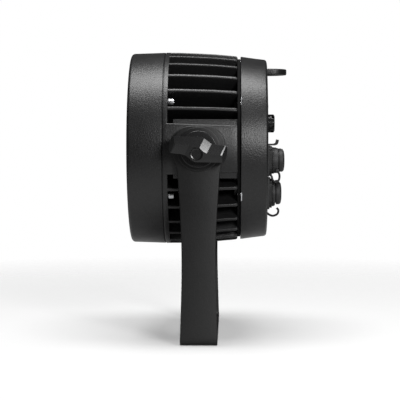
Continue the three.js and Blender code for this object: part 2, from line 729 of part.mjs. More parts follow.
for (const [name, turn] of [['right', 0], ['left', Math.PI]]) {
  const side = new THREE.Group();
  side.rotation.z = turn;
  head.add(side);
  const disc = washerBody(friction.radius, pad.bossFace + GAP, friction.thickness);
  const plainWasher = washerBody(washer.radius, washerStart, washer.thickness);
  const studBody = rodAlongX(stud.radius, pad.bossFace - stud.depth, knobStart + knob.boreDepth - GAP, 12);
  addPart(side, `friction_disc_${name}`, disc, fibre());
  addPart(side, `knob_washer_${name}`, plainWasher, blackSteel());
  addPart(side, `knob_${name}`, knobBody(), blackPlastic());
  addPart(side, `knob_stud_${name}`, studBody, brightSteel());
}

export default light;
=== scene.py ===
"""Par can light on a U-shaped yoke: the visual model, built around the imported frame.

Shapes are written in millimetres and become metres when a piece is placed. Most pieces are drawn in the
head's own coordinates: the lamp's axis is Y, the tilt axis is X, and both cross at the pivot.
"""

import math

import bmesh
import bpy
from mathutils import Matrix, Vector


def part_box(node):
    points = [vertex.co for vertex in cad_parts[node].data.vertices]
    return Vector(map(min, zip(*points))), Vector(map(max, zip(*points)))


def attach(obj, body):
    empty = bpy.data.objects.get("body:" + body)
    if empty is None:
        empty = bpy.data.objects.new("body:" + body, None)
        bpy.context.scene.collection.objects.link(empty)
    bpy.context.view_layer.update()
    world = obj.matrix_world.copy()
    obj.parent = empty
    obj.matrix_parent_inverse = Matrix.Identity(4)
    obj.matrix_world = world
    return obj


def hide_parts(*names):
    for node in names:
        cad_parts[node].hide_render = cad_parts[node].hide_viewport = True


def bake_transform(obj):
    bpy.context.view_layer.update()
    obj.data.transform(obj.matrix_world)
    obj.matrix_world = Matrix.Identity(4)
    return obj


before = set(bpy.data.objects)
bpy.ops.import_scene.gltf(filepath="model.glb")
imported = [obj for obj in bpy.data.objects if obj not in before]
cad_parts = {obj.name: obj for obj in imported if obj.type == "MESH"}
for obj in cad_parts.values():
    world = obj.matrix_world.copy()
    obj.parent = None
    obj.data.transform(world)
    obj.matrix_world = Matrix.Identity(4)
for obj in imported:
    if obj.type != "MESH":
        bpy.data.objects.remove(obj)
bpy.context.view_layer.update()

MM = 0.001
GAP = 0.3


def box_mm(node):
    """The lowest and highest corner of a CAD node, in millimetres."""
    low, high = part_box(node)
    return [value / MM for value in low], [value / MM for value in high]


def span(node, axis):
    low, high = box_mm(node)
    return low["xyz".index(axis)], high["xyz".index(axis)]


def middle(node, axis):
    return sum(span(node, axis)) / 2


PIVOT = middle("knob_right", "z")
SEGMENTS = 192
FINE_SEGMENTS = 256


def added(name, data):
    obj = bpy.data.objects.new(name, data)
    bpy.context.scene.collection.objects.link(obj)
    return obj


def aimed(obj, position, target):
    obj.location = position
    obj.rotation_euler = (Vector(target) - obj.location).to_track_quat("-Z", "Y").to_euler()
    return obj


# ---- Camera ----

camera_data = bpy.data.cameras.new("camera")
camera_data.lens = 126
camera = aimed(added("camera", camera_data), (1.4, 0.0292, 0.199), (0, -0.0008, 0.132))
bpy.context.scene.camera = camera

# ---- Outlines ----


def arc(centre, radius, start, end, steps):
    """Points on a circle, from one angle to another in degrees."""
    points = []
    for i in range(steps + 1):
        angle = math.radians(start + (end - start) * i / steps)
        points.append((centre[0] + radius * math.cos(angle), centre[1] + radius * math.sin(angle)))
    return points


def filleted(corners, closed=True, steps=6):
    """A polyline from (a, b) or (a, b, radius) corners, with an arc at each corner that has a radius."""
    points = []
    count = len(corners)
    for i, corner in enumerate(corners):
        here = Vector(corner[:2])
        radius = corner[2] if len(corner) > 2 else 0
        if radius == 0 or (not closed and i in (0, count - 1)):
            points.append(tuple(here))
            continue
        before = (Vector(corners[i - 1][:2]) - here).normalized()
        after = (Vector(corners[(i + 1) % count][:2]) - here).normalized()
        half = before.angle(after) / 2
        reach = radius / math.tan(half)
        centre = here + (before + after).normalized() * (radius / math.sin(half))
        first = here + before * reach - centre
        turn = (here + after * reach - centre).angle_signed(first)
        for step in range(steps + 1):
            angle = turn * step / steps
            spoke = Vector((
                first.x * math.cos(angle) - first.y * math.sin(angle),
                first.x * math.sin(angle) + first.y * math.cos(angle),
            ))
            points.append(tuple(centre + spoke))
    return points


def rounded_rectangle(width, height, radius, steps=8):
    w, h = width / 2, height / 2
    return filleted([(-w, -h, radius), (w, -h, radius), (w, h, radius), (-w, h, radius)], steps=steps)


def circle(radius, centre=(0, 0), steps=48):
    return arc(centre, radius, 0, 360, steps)[:-1]


def inset(outline, distance, least_stretch=0.35):
    """The outline moved inward by a distance. It runs counter-clockwise."""
    count = len(outline)
    shifted = []
    for i in range(count):
        before = Vector(outline[i]) - Vector(outline[i - 1])
        after = Vector(outline[(i + 1) % count]) - Vector(outline[i])
        left = Vector((-before.y, before.x)).normalized() + Vector((-after.y, after.x)).normalized()
        if left.length < 1e-6:
            shifted.append(outline[i])
            continue
        left.normalize()
        stretch = max(least_stretch, left.dot(Vector((-after.y, after.x)).normalized()))
        shifted.append(tuple(Vector(outline[i]) + left * distance / stretch))
    return shifted


def smooth_through(points, per_span=8):
    """A Catmull-Rom curve through points of any dimension."""
    points = [Vector(p) for p in points]
    padded = [2 * points[0] - points[1], *points, 2 * points[-1] - points[-2]]
    curve = []
    for i in range(1, len(padded) - 2):
        p0, p1, p2, p3 = padded[i - 1:i + 3]
        for step in range(per_span):
            t = step / per_span
            curve.append(0.5 * ((2 * p1) + (p2 - p0) * t + (2 * p0 - 5 * p1 + 4 * p2 - p3) * t * t
                                + (3 * p1 - p0 - 3 * p2 + p3) * t ** 3))
    curve.append(points[-1])
    return curve


# ---- Solids, as Blender objects in millimetres until they are placed ----


def solid(bm):
    bmesh.ops.recalc_face_normals(bm, faces=bm.faces)
    mesh = bpy.data.meshes.new("solid")
    bm.to_mesh(mesh)
    bm.free()
    return added("solid", mesh)


def bridge(bm, one, other):
    """Joins two rings of vertices that match one by one."""
    for i in range(len(one)):
        j = (i + 1) % len(one)
        bm.faces.new((one[i], one[j], other[j], other[i]))


def turned(corners, segments=SEGMENTS, steps=6):
    """A body turned about the Y axis from [radius, y] corners, which may carry a fillet radius."""
    on_axis = corners[0][0] == 0 and corners[-1][0] == 0
    profile = filleted(corners, closed=not on_axis, steps=steps)
    bm = bmesh.new()
    rings = []
    for radius, y in profile:
        if radius < 1e-6:
            rings.append([bm.verts.new((0, y, 0))])
            continue
        ring = []
        for i in range(segments):
            angle = 2 * math.pi * i / segments
            ring.append(bm.verts.new((radius * math.cos(angle), y, radius * math.sin(angle))))
        rings.append(ring)
    pairs = list(zip(rings, rings[1:]))
    if not on_axis:
        pairs.append((rings[-1], rings[0]))
    for one, other in pairs:
        if len(one) > 1 and len(other) > 1:
            bridge(bm, one, other)
            continue
        for i in range(segments):
            j = (i + 1) % segments
            if len(other) > 1:
                bm.faces.new((one[0], other[i], other[j]))
            elif len(one) > 1:
                bm.faces.new((one[i], one[j], other[0]))
    return solid(bm)


def stacked(rings):
    """A closed body through rings of points that match one by one, with a flat face at each end."""
    bm = bmesh.new()
    loops = [[bm.verts.new(point) for point in ring] for ring in rings]
    for one, other in zip(loops, loops[1:]):
        bridge(bm, one, other)
    bm.faces.new(loops[0])
    bm.faces.new(loops[-1])
    return solid(bm)


AXES = {
    "x": lambda a, b, c: (c, a, b),
    "y": lambda a, b, c: (a, c, b),
    "z": lambda a, b, c: (a, b, c),
}


def rounded_levels(low, high, edge, steps=4):
    """The (inset, level) pairs that round both edges of a slab."""
    quarter = [math.pi / 2 * i / steps for i in range(steps + 1)]
    bottom = [(edge * (1 - math.sin(t)), low + edge * (1 - math.cos(t))) for t in quarter]
    top = [(edge * (1 - math.cos(t)), high - edge * (1 - math.sin(t))) for t in quarter]
    return bottom + top


def slab(outline, low, high, edge=0.0, along="z", steps=4):
    """An outline given a thickness along an axis, its edges rounded. The outline is in the other two axes."""
    point_at = AXES[along]
    levels = rounded_levels(low, high, edge, steps) if edge > 0 else [(0, low), (0, high)]
    rings = [[point_at(a, b, level) for a, b in inset(outline, depth)] for depth, level in levels]
    return stacked(rings)


def moved(obj, x=0.0, y=0.0, z=0.0):
    obj.data.transform(Matrix.Translation((x, y, z)))
    return obj


def spun(obj, degrees, axis="Y"):
    obj.data.transform(Matrix.Rotation(math.radians(degrees), 4, axis))
    return obj


def gathered(objects):
    """One object that holds several bodies."""
    bm = bmesh.new()
    for obj in objects:
        bm.from_mesh(obj.data)
        bpy.data.objects.remove(obj)
    return solid(bm)


def applied(obj):
    """The object with its modifiers made part of its mesh."""
    depsgraph = bpy.context.evaluated_depsgraph_get()
    mesh = bpy.data.meshes.new_from_object(obj.evaluated_get(depsgraph))
    obj.modifiers.clear()
    obj.data = mesh
    return obj


def combined(obj, other, operation):
    """The boolean of two objects. Both are used up."""
    modifier = obj.modifiers.new("boolean", "BOOLEAN")
    modifier.object = other
    modifier.operation = operation
    modifier.solver = "MANIFOLD"
    applied(obj)
    bpy.data.objects.remove(other)
    return obj


def joined(obj, *others):
    for other in others:
        obj = combined(obj, other, "UNION")
    return obj


def cut(obj, *tools):
    for tool in tools:
        obj = combined(obj, tool, "DIFFERENCE")
    return obj


def rod(radius, low, high, along="y", segments=48, edge=0.0, at=(0, 0)):
    return slab(circle(radius, at, segments), low, high, edge, along)


def block(low, high, edge=0.0, along="z"):
    """A box between two corners, its edges rounded."""
    pairs = list(zip(low, high))
    a, b, c = {"x": (1, 2, 0), "y": (0, 2, 1), "z": (0, 1, 2)}[along]
    (a0, a1), (b0, b1), (c0, c1) = pairs[a], pairs[b], pairs[c]
    radius = max(edge, 1e-3)
    outline = filleted([(a0, b0, radius), (a1, b0, radius), (a1, b1, radius), (a0, b1, radius)], steps=4)
    return slab(outline, c0, c1, edge, along)


def place(obj, name, body, nodes, slot_name, material, lift=PIVOT, sharp=35):
    """Names a finished piece, scales it to metres and hands it to its CAD body, when it is given one."""
    obj.name = name
    obj.data.name = name
    obj.data.transform(Matrix.Scale(MM, 4) @ Matrix.Translation((0, 0, lift)))
    obj.data.materials.clear()
    obj.data.materials.append(material)
    obj.data.shade_smooth()
    obj.data.set_sharp_from_angle(angle=math.radians(sharp))
    if body:
        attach(obj, body)
    if nodes:
        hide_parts(*nodes)
    return obj


# ---- Materials ----


def new_material(name):
    material = bpy.data.materials.new(name)
    material.use_nodes = True
    tree = material.node_tree
    return material, tree, tree.nodes["Principled BSDF"]


def set_inputs(node, settings):
    for name, setting in settings.items():
        node.inputs[name].default_value = setting


def add_noise(tree, scale, detail=2.0, roughness=0.5):
    coordinates = tree.nodes.new("ShaderNodeTexCoord")
    noise = tree.nodes.new("ShaderNodeTexNoise")
    set_inputs(noise, {"Scale": scale, "Detail": detail, "Roughness": roughness})
    tree.links.new(coordinates.outputs["Object"], noise.inputs["Vector"])
    return noise.outputs["Fac"]


def add_range(tree, value, low, high, start=0.3, end=0.7):
    """Maps a noise value to a range."""
    node = tree.nodes.new("ShaderNodeMapRange")
    set_inputs(node, {"From Min": start, "From Max": end, "To Min": low, "To Max": high})
    tree.links.new(value, node.inputs["Value"])
    return node.outputs["Result"]


def add_ramp(tree, value, stops):
    node = tree.nodes.new("ShaderNodeValToRGB")
    ramp = node.color_ramp
    while len(ramp.elements) < len(stops):
        ramp.elements.new(0.5)
    for element, (position, colour) in zip(ramp.elements, stops):
        element.position = position
        element.color = (*colour, 1)
    tree.links.new(value, node.inputs["Fac"])
    return node.outputs["Color"]


def add_bump(tree, value, strength, distance):
    node = tree.nodes.new("ShaderNodeBump")
    set_inputs(node, {"Strength": strength, "Distance": distance})
    tree.links.new(value, node.inputs["Height"])
    return node.outputs["Normal"]


def grey(value):
    return (value, value, value * 1.03)


def finished(tree, shader, colour, roughness, normal):
    for name, output in (("Base Color", colour), ("Roughness", roughness), ("Normal", normal)):
        tree.links.new(output, shader.inputs[name])


def powder_coat(name, dark, light, gloss, grain=750.0, depth=0.00045):
    """Fine textured black powder coat: a pebbled surface with small bright flecks."""
    material, tree, shader = new_material(name)
    pebbles = add_noise(tree, grain, 3.0, 0.6)
    drift = add_noise(tree, 35.0, 2.0, 0.5)
    colour = add_ramp(tree, pebbles, [(0.3, grey(dark)), (0.62, grey(light)), (0.78, grey(light * 2.2))])
    roughness = add_range(tree, drift, gloss - 0.03, gloss + 0.03)
    finished(tree, shader, colour, roughness, add_bump(tree, pebbles, 0.5, depth))
    return material


def moulded(name, value, gloss, grain=900.0, depth=0.00003, tint=(1.0, 1.0, 1.03)):
    """Moulded plastic or rubber with a fine spark-eroded grain."""
    material, tree, shader = new_material(name)
    fine = add_noise(tree, grain, 4.0, 0.6)
    broad = add_noise(tree, 60.0, 2.0, 0.5)
    shades = [tuple(value * share * c for c in tint) for share in (0.8, 1.2)]
    colour = add_ramp(tree, broad, [(0.3, shades[0]), (0.7, shades[1])])
    roughness = add_range(tree, fine, gloss - 0.06, gloss + 0.06)
    finished(tree, shader, colour, roughness, add_bump(tree, fine, 0.3, depth))
    return material


def metal(name, colour, gloss, grain=500.0):
    """Machined metal with fine tool marks."""
    material, tree, shader = new_material(name)
    set_inputs(shader, {"Metallic": 1.0})
    marks = add_noise(tree, grain, 5.0, 0.7)
    shades = add_ramp(tree, marks, [(0.3, tuple(0.85 * c for c in colour)), (0.7, colour)])
    roughness = add_range(tree, marks, gloss - 0.08, gloss + 0.08)
    finished(tree, shader, shades, roughness, add_bump(tree, marks, 0.2, 0.00002))
    return material


def clear(name, colour, gloss, ior):
    material, tree, shader = new_material(name)
    set_inputs(shader, {"Base Color": (*colour, 1), "Transmission Weight": 1.0, "IOR": ior})
    film = add_noise(tree, 90.0, 3.0, 0.5)
    tree.links.new(add_range(tree, film, gloss, gloss + 0.05), shader.inputs["Roughness"])
    return material


coat = powder_coat("powder_coat_casting", 0.005, 0.011, 0.38)
steel_coat = powder_coat("powder_coat_steel", 0.0022, 0.0055, 0.42, 900.0, 0.00022)
knob_plastic = moulded("knob_plastic", 0.012, 0.28, 1400.0, 0.00001)
black_plastic = moulded("black_plastic", 0.013, 0.5)
gloss_plastic = moulded("gloss_plastic", 0.012, 0.22, 1400.0, 0.00001)
rubber = moulded("black_rubber", 0.014, 0.6, 700.0)
black_steel = powder_coat("black_steel", 0.003, 0.006, 0.34, 1500.0, 0.00006)
bright_steel = metal("bright_steel", (0.78, 0.79, 0.81), 0.22)
brass = metal("contact_brass", (0.75, 0.56, 0.25), 0.25)
glass = clear("clear_glass", (0.96, 0.99, 0.98), 0.0, 1.5)
acrylic = clear("clear_plastic", (0.99, 0.99, 1.0), 0.02, 1.49)
# Painted shade: a near-black, barely reflecting finish for the band at the housing's joint, where the gap is
# in shadow.
painted_shade_band = moulded("painted_shade_band", 0.004, 0.85, 700.0)
set_inputs(painted_shade_band.node_tree.nodes["Principled BSDF"], {"Specular IOR Level": 0.15})
cap_rubber = moulded("cap_rubber", 0.022, 0.56, 900.0)
phosphor = moulded("led_phosphor", 0.7, 0.3, 200.0, 0.00001, (1.0, 0.86, 0.35))
fibre = moulded("fibre", 0.05, 0.75, 400.0, 0.00008, (1.0, 0.72, 0.5))
board_white = moulded("led_board", 0.78, 0.35, 300.0, 0.00001, (1.0, 1.0, 0.97))
board_green = moulded("circuit_board", 0.09, 0.35, 300.0, 0.00002, (0.25, 1.0, 0.45))

# The finishes that several pieces share: the slot's name and its material.
CASTING = ("black_powder_coat_casting", coat)
RUBBER = ("black_rubber", rubber)
BRIGHT = ("bright_steel", bright_steel)
BOARD = ("led_board", board_white)

# Radii are from the lamp's axis. Distances along it and heights are from the tilt axis.

# ---- Front bezel ----

bezel_front, bezel_rear = span("front_bezel", "y")
bezel_radius = span("front_bezel", "x")[1]
BEZEL_TAPER = 1.1
LIP_RADIUS = 81
LIP_DEPTH = 6
BORE_RADIUS = 85.5
SCREW_ANGLES = (30, 90, 150, 210, 270, 330)
SCREW_CIRCLE = 88.5
SCREW_HOLE_RADIUS = 1.9
SCREW_HOLE_DEPTH = 14


def on_circle(radius, degrees):
    angle = math.radians(degrees)
    return radius * math.cos(angle), radius * math.sin(angle)


def screw_holes(low, high):
    """The space of the six bezel screws' holes."""
    return gathered([
        rod(SCREW_HOLE_RADIUS, low, high, at=on_circle(SCREW_CIRCLE, angle), segments=24)
        for angle in SCREW_ANGLES
    ])


def front_bezel():
    lip_rear = bezel_front + LIP_DEPTH
    ring = turned([
        (LIP_RADIUS, bezel_front, 1.6), (bezel_radius - BEZEL_TAPER, bezel_front, 3.2),
        (bezel_radius, bezel_rear, 0.5), (BORE_RADIUS, bezel_rear, 0.3),
        (BORE_RADIUS, lip_rear, 0.2), (LIP_RADIUS, lip_rear, 0.3),
    ], FINE_SEGMENTS, 8)
    ring = cut(ring, screw_holes(bezel_rear - SCREW_HOLE_DEPTH, bezel_rear + 1))
    return place(ring, "bezel_ring", "head", ["front_bezel"], *CASTING)


# ---- Heatsink housing ----

WALL_FRONT, WALL_REAR = -36, -26
SPIGOT_FRONT, SPIGOT_RADIUS, SPIGOT_INNER = -51.8, 85.2, 80.2
SEAL_FRONT, SEAL_REAR, SEAL_FLOOR = -40.5, -37.5, 82.7
FLANGE_FRONT, FLANGE_REAR = -33.9, -29.5
SEAM_LENGTH, SEAM_RADIUS = 0.6, 93.4
CORE_RADIUS, CORE_INNER = 56, 52
NECK_FRONT, NECK_REAR, NECK_RADIUS = 33, 39.3, 78.5
JOINT_FRONT, JOINT_RADIUS, BAND_RADIUS = 36.2, 70, 88.3

# The casting's outer envelope, as (radius, y): the fins end on it.
ENVELOPE = [(94.8, -29.5), (94.8, -21), (94.1, -3), (93.15, 15), (91.6, 32), (91, 36.7)]
FLANGE_RADIUS = ENVELOPE[0][0]
FIN_REAR = ENVELOPE[-1][1]
FIN_PITCH, FIN_THICKNESS = 12, 3.5
FIN_EDGE, FIN_ROUND = 1.2, 2.2
FIN_INSET = 0.05
COVERED_RADIUS = 78

PAD_HALF_FRONT, PAD_HALF_REAR = 24.1, 21.9
PAD_PROUD, PAD_ROUND, PAD_EDGE, PAD_WALL = 0.5, 1.4, 0.9, 12
PAD_FACE, PAD_FACE_STEPS = 0.9, 24
PAD_EDGE_ANGLES = (90, 68, 45, 23, 0)
PAD_STATIONS = range(-28, 34, 3)
STEP_HALF, STEP_FRONT, STEP_DEPTH = 28, -24, 1.5
# The step's edge as (distance inward, height), its face's heights, and its stations as (y, drop).
STEP_EDGE = [(0, -PAD_WALL), (0, -1.1), (0.6, -0.15), (1.2, 0)]
STEP_FACE = (-26, -20, -12, -4, 4, 12, 20, 26)
STEP_STATIONS = [(y, 0.0) for y in (STEP_FRONT, -18, -9, 0, 9, 18, 27, FIN_REAR - 1.4)]
STEP_STATIONS += [(FIN_REAR - 0.4, 0.6), (FIN_REAR, 1.4)]

# Rods along the tilt axis, as (radius, start, end).
BOSS = (20, 79, span("friction_disc_right", "x")[0] - GAP)
SOCKET = (10, 55, 94)
STUD_HOLE = (4.3, 74.2, 98)


def envelope_radius(y):
    """The casting's outer radius at a distance along the lamp's axis."""
    for (r0, y0), (r1, y1) in zip(ENVELOPE, ENVELOPE[1:]):
        if y <= y1:
            return r0 + (r1 - r0) * (y - y0) / (y1 - y0) if y > y0 else r0
    return ENVELOPE[-1][0]


def fin(angle, covered):
    """A radial fin. It reaches the envelope, or stops short of it when a pivot pad covers it."""
    root = CORE_RADIUS - 1.5
    front = FLANGE_REAR - 1
    if covered:
        outline = [(root, front), (COVERED_RADIUS, front), (COVERED_RADIUS, FIN_REAR), (root, FIN_REAR)]
    else:
        edge = [(r - FIN_INSET, y) for r, y in ENVELOPE[:-1]]
        tip = (ENVELOPE[-1][0], FIN_REAR, FIN_ROUND)
        outline = filleted([(root, front), (FLANGE_RADIUS - FIN_INSET, front), *edge, tip, (root, FIN_REAR)])
    half = FIN_THICKNESS / 2
    body = slab(outline, -half, half, FIN_EDGE, "z", 5)
    return spun(body, -angle)


def skin_point(side, y, z, raised, lowered, drop):
    """A point of a pad's skin. The drop spares the foot of its wall."""
    radius = envelope_radius(y) + raised + lowered - (0 if lowered == -PAD_WALL else drop)
    return side * math.sqrt(radius ** 2 - z ** 2), y, z


def pad(side):
    """A stretch of the envelope made solid, a little narrower at the rear, and rounded at its rear edge."""
    edge = [(1 - math.sin(math.radians(a)), math.cos(math.radians(a)) - 1) for a in PAD_EDGE_ANGLES]
    section = [(-1, 0, -PAD_WALL)] + [(-1, PAD_EDGE * across, PAD_EDGE * down) for across, down in edge]
    section += [(-PAD_FACE + 2 * PAD_FACE * i / PAD_FACE_STEPS, 0, 0) for i in range(PAD_FACE_STEPS + 1)]
    section += [(1, PAD_EDGE * across, PAD_EDGE * down) for across, down in edge[::-1]]
    section += [(1, 0, -PAD_WALL)]
    stations = [(FLANGE_REAR - 1, 0.0), (FLANGE_REAR, 0.0)]
    stations += [(y, 0.0) for y in PAD_STATIONS]
    for i in range(7):
        t = math.pi / 2 * i / 6
        stations.append((FIN_REAR - PAD_ROUND + PAD_ROUND * math.sin(t), PAD_ROUND * (1 - math.cos(t))))
    rings = []
    for y, drop in stations:
        share = (y - FLANGE_REAR) / (FIN_REAR - FLANGE_REAR)
        half = PAD_HALF_FRONT + (PAD_HALF_REAR - PAD_HALF_FRONT) * share
        ring = []
        for part, across, lowered in section:
            z = part * half - math.copysign(across, part)
            ring.append(skin_point(side, y, z, PAD_PROUD, lowered, drop))
        rings.append(ring)
    return stacked(rings)


def pad_step(side):
    """The lower strip above and below the pad. It starts behind the flange."""
    section = [(-STEP_HALF + inward, lowered) for inward, lowered in STEP_EDGE]
    section += [(z, 0) for z in STEP_FACE]
    section += [(STEP_HALF - inward, lowered) for inward, lowered in STEP_EDGE[::-1]]
    return stacked([[skin_point(side, y, z, -STEP_DEPTH, lowered, drop) for z, lowered in section]
                    for y, drop in STEP_STATIONS])


def both_sides(radius, start, end, segments, edge=0.0):
    """Two rods along the tilt axis, one on each side of the lamp."""
    ends = [sorted((side * start, side * end)) for side in (1, -1)]
    return gathered([rod(radius, low, high, "x", segments, edge) for low, high in ends])


def shade_band_at_joint():
    """A near-black band on the joint face between the housing and the rear cover: painted shade, standing in
    for the shadow in that gap.
    """
    inner, front = JOINT_RADIUS + 0.1, JOINT_FRONT + 0.1
    band = turned([
        (inner, front), (BAND_RADIUS, front, 0.3), (BAND_RADIUS, NECK_REAR, 0.3), (inner, NECK_REAR),
    ], 192, 3)
    place(band, "joint_painted_shade", "head", [], "black_rubber", painted_shade_band)


def heatsink_housing():
    seam_front = FLANGE_FRONT - SEAM_LENGTH
    shell = turned([
        (0, WALL_FRONT), (SPIGOT_INNER, WALL_FRONT, 0.5), (SPIGOT_INNER, SPIGOT_FRONT, 0.3),
        (SPIGOT_RADIUS, SPIGOT_FRONT, 0.3), (SPIGOT_RADIUS, SEAL_FRONT), (SEAL_FLOOR, SEAL_FRONT),
        (SEAL_FLOOR, SEAL_REAR), (SPIGOT_RADIUS, SEAL_REAR), (SPIGOT_RADIUS, seam_front),
        (SEAM_RADIUS, seam_front), (SEAM_RADIUS, FLANGE_FRONT), (FLANGE_RADIUS, FLANGE_FRONT, 0.5),
        (FLANGE_RADIUS, FLANGE_REAR, 0.5), (CORE_RADIUS, FLANGE_REAR, 2), (CORE_RADIUS, NECK_FRONT, 2),
        (NECK_RADIUS, NECK_FRONT, 0.6), (NECK_RADIUS, JOINT_FRONT, 0.2), (JOINT_RADIUS, JOINT_FRONT),
        (JOINT_RADIUS, NECK_REAR, 0.4), (CORE_INNER, NECK_REAR, 0.4), (CORE_INNER, WALL_REAR, 1),
        (0, WALL_REAR),
    ], FINE_SEGMENTS, 4)
    fins = []
    for angle in range(0, 360, FIN_PITCH):
        from_side = min(angle % 180, 180 - angle % 180)
        fins.append(fin(angle, from_side < 2 * FIN_PITCH))
    body = joined(
        shell,
        gathered(fins),
        gathered([pad_step(1), pad_step(-1)]),
        gathered([pad(1), pad(-1)]),
        both_sides(*BOSS, 96, 0.4),
        both_sides(*SOCKET, 48),
    )
    body = cut(body, screw_holes(-35, -28), both_sides(*STUD_HOLE, 48))
    return place(body, "housing_casting", "head", ["heatsink_housing"], *CASTING, sharp=30)


# ---- Rear cover ----

cover_front, cover_rear = span("rear_cover", "y")
# Where pieces that sit on the back plate start.
SEAT = cover_rear + GAP
COVER_RADIUS, COVER_WALL = 90.8, 81.5
COVER_STEP, COVER_STEP_RADIUS = 43.8, 73.2
PLATE_INNER = 61.2
GROOVE_OUTER, GROOVE_INNER, GROOVE_END = 77.2, 74.6, 41.8
STUD_CIRCLE, STUD_HOLE_REAR = 85.6, 52.3
COLLAR_HALF, COLLAR_RADIUS, COLLAR_THICKNESS, NOTCH_FLOOR = 4.6, 90.5, 1, 80.6
# Where the tools start and end that cut through the back plate.
THROUGH = (60, 67)
COLUMNS, ROWS = (-22, 22), (-12, -44)
KEY_PLACES, KEY_HEIGHT = (-24, -8, 8, 24), 40.5
PEG_PLACES, PEG_HEIGHT = (-10, 10), 75.3
DISPLAY_HEIGHT = 56


def height_of(node):
    return middle(node, "z") - PIVOT


def rear_cover():
    body = turned([
        (0, cover_rear), (87.4, cover_rear, 2.8), (89.2, 51, 60), (COVER_RADIUS, cover_front, 0.4),
        (GROOVE_OUTER, cover_front), (GROOVE_OUTER, GROOVE_END), (GROOVE_INNER, GROOVE_END),
        (GROOVE_INNER, cover_front), (COVER_STEP_RADIUS, cover_front), (COVER_STEP_RADIUS, COVER_STEP),
        (COVER_WALL, COVER_STEP, 0.5), (COVER_WALL, PLATE_INNER, 1), (0, PLATE_INNER),
    ], FINE_SEGMENTS, 8)
    holes, pockets = [], []
    half = COLLAR_HALF + GAP
    start = cover_front - 1
    for angle in SCREW_ANGLES:
        centre = on_circle(STUD_CIRCLE, angle)
        holes.append(rod(SCREW_HOLE_RADIUS, start, STUD_HOLE_REAR, at=centre, segments=24))
        pocket = [(NOTCH_FLOOR, -half), (100, -half), (100, half), (NOTCH_FLOOR, half)]
        pockets.append(spun(slab(pocket, start, cover_front + 1.3, along="y"), -angle))
    body = cut(body, gathered(holes), gathered(pockets))
    openings = [rod(10.5, *THROUGH, at=(x, z), segments=64) for x in COLUMNS for z in ROWS]
    openings.append(rod(6.1, *THROUGH, at=(0, height_of("vent_plug"))))
    openings += [rod(4.9, *THROUGH, at=(x, KEY_HEIGHT)) for x in KEY_PLACES]
    openings += [rod(2.8, *THROUGH, at=(x, PEG_HEIGHT), segments=24) for x in PEG_PLACES]
    window = moved(slab(rounded_rectangle(36, 11, 1), *THROUGH, along="y"), z=DISPLAY_HEIGHT)
    seat = moved(slab(rounded_rectangle(44.6, 18.6, 2.3), 62.9, THROUGH[1], along="y"), z=DISPLAY_HEIGHT)
    body = cut(body, gathered(openings), window, seat)
    return place(body, "rear_cover_casting", "head", ["rear_cover"], *CASTING)


# ---- Screws, studs and seals ----

SHANK_RADIUS = 1.5
HEAD_RADIUS, KNURL_RADIUS, HEAD_LENGTH = 2.9, 2.72, 5.4
KNURL_POINTS = 40
HEX_RADIUS, HEX_DEPTH = 1.6, 2


def bezel_screw(index, angle):
    """A cap screw: a knurled head with a hexagonal socket, and a shank that reaches into the bezel."""
    name = f"bezel_screw_{index}"
    low, high = span(name, "y")
    seat = high - HEAD_LENGTH
    knurl = [on_circle(HEAD_RADIUS if i % 2 else KNURL_RADIUS, 360 * i / KNURL_POINTS)
             for i in range(KNURL_POINTS)]
    head = slab(knurl, seat, high, 0.35, "y", 3)
    body = joined(head, rod(SHANK_RADIUS, low, seat + 1, segments=24))
    body = cut(body, slab(circle(HEX_RADIUS, steps=6), high - HEX_DEPTH, high + 1, along="y"))
    x, z = on_circle(SCREW_CIRCLE, angle)
    return place(moved(body, x, 0, z), f"screw_{index}", "head", [name], *BRIGHT)


def cover_stud(index, angle):
    """A stud whose collar fills a notch in the ring's front edge, flush with the ring's outside."""
    name = f"cover_stud_{index}"
    low, high = span(name, "y")
    shank = turned([(0, low), (SHANK_RADIUS, low, 0.3), (SHANK_RADIUS, high, 0.4), (0, high)], 48, 3)
    x, z = on_circle(STUD_CIRCLE, angle)
    reach = math.degrees(math.asin(COLLAR_HALF / COLLAR_RADIUS))
    floor = NOTCH_FLOOR + GAP
    outer = arc((0, 0), COLLAR_RADIUS, -reach, reach, 8)
    outline = [(floor, -COLLAR_HALF), *outer, (floor, COLLAR_HALF)]
    collar = spun(slab(outline, cover_front, cover_front + COLLAR_THICKNESS, 0.15, "y", 2), -angle)
    body = joined(collar, moved(shank, x, 0, z))
    return place(body, f"stud_{index}", "head", [name], *BRIGHT)


def seals():
    """Two O-rings, round in section."""
    for name in ("front_seal", "rear_seal"):
        low, high = span(name, "y")
        section = (high - low) / 2
        centre = (span(name, "x")[1] - section, (low + high) / 2)
        ring = turned(circle(section, centre, 12), 160)
        place(ring, f"{name}_ring", "head", [name], *RUBBER)


# ---- Optics ----

GLASS_RADIUS, GASKET_INNER = 85.2, 80.5
BOARD_RADIUS, BOARD_THICKNESS = 79, 1.6
EMITTER_SIZE, EMITTER_HEIGHT = 9, 2.4
# Measured from a lens's inner edge. It ends 0.7 mm short of the lens's middle.
EMITTER_PITCH = span("lens_2", "x")[0] + 23.1
EMITTERS = [(0, 0)] + [on_circle(EMITTER_PITCH, angle) for angle in range(0, 360, 60)]


